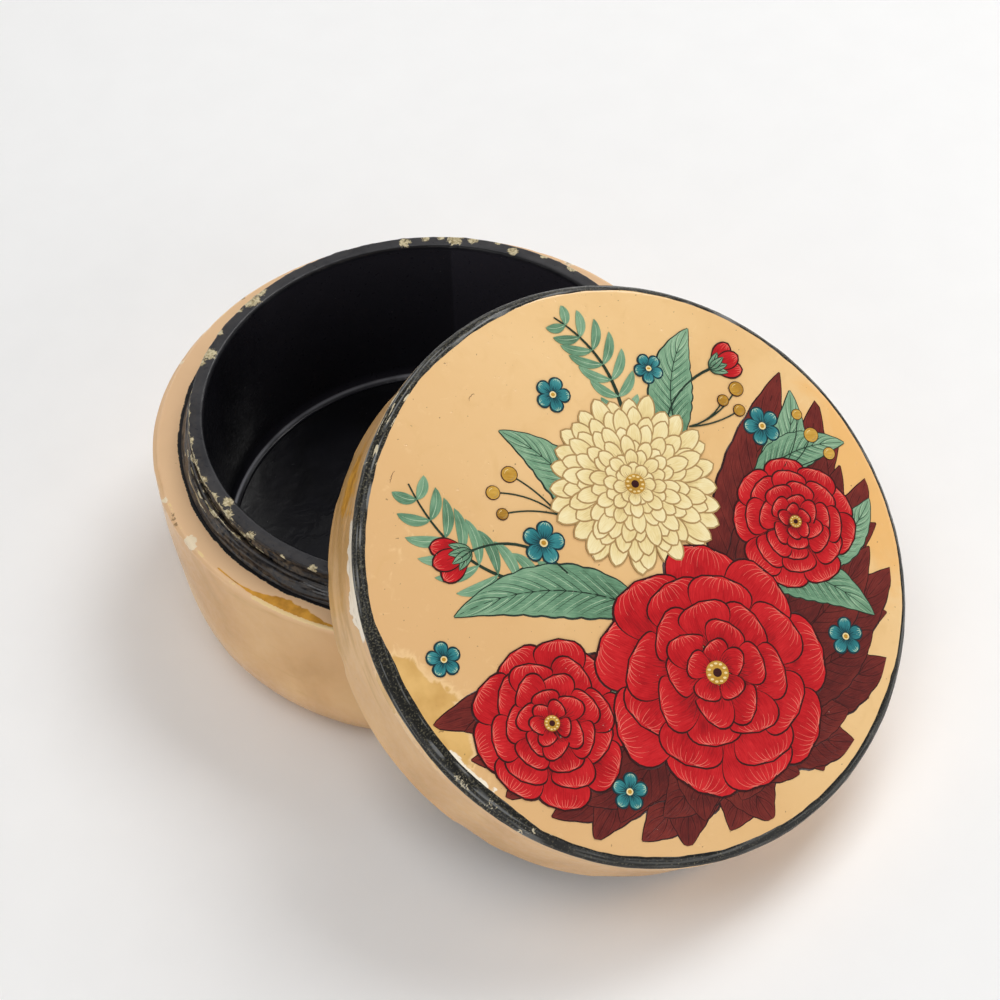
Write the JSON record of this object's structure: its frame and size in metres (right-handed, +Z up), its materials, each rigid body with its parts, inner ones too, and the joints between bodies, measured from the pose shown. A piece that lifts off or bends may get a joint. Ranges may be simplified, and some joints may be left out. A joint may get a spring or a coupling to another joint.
{
  "type": "round lidded box",
  "caption": "Round lacquered papier mache box with a black neck; its loose slip-on lid leans on the open base, face outward.",
  "frame": {"origin": "centre of the base's underside, on the table", "axes": "+Z up along the base's axis; the lid leans towards -Y with its lower edge on the table; +X to the right, across the plane of symmetry"},
  "size_m": [0.1008, 0.1474, 0.0678],
  "materials": {
    "tan_lacquer": "gloss",
    "black_lacquer": "gloss",
    "painted_face": "gloss"
  },
  "bodies": {
    "base": {"base_shell": "tan_lacquer", "floor_disc": "black_lacquer", "neck_ring": "black_lacquer", "neck_strip": "black_lacquer"},
    "lid": {"lid_wall": "tan_lacquer", "lid_top": "painted_face"}
  },
  "joints": [
    {"name": "lid_lift", "type": "slide", "parent": "base", "child": "lid", "axis": [0, 0, 1], "range_m": [0, 0.06]}
  ]
}
